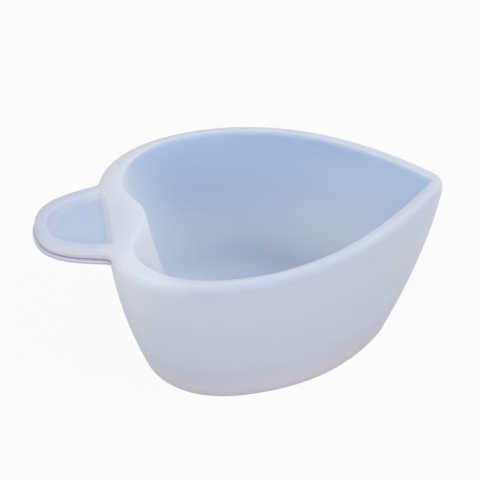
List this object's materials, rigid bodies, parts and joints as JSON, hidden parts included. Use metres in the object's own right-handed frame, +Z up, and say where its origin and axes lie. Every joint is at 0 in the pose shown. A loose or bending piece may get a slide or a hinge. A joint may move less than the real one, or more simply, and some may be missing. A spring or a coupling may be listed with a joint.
{
  "type": "resin mixing cup",
  "caption": "Leaf-shaped translucent silicone mixing cup with a pointed pouring corner and a flat finger tab, for small batches of casting resin.",
  "frame": {"origin": "middle of the overall bounding box in X and Y, on the resting face", "axes": "+X along the length to the pouring tip, the finger tab at -X, +Z up; the cup is the same on both sides of the XZ plane"},
  "size_m": [0.0844, 0.0452, 0.0372],
  "materials": {
    "translucent_silicone": "satin"
  },
  "bodies": {
    "root": {"cup_floor": "translucent_silicone", "side_wall": "translucent_silicone", "rim": "translucent_silicone", "tab_plate": "translucent_silicone", "tab_bead": "translucent_silicone"}
  },
  "joints": []
}
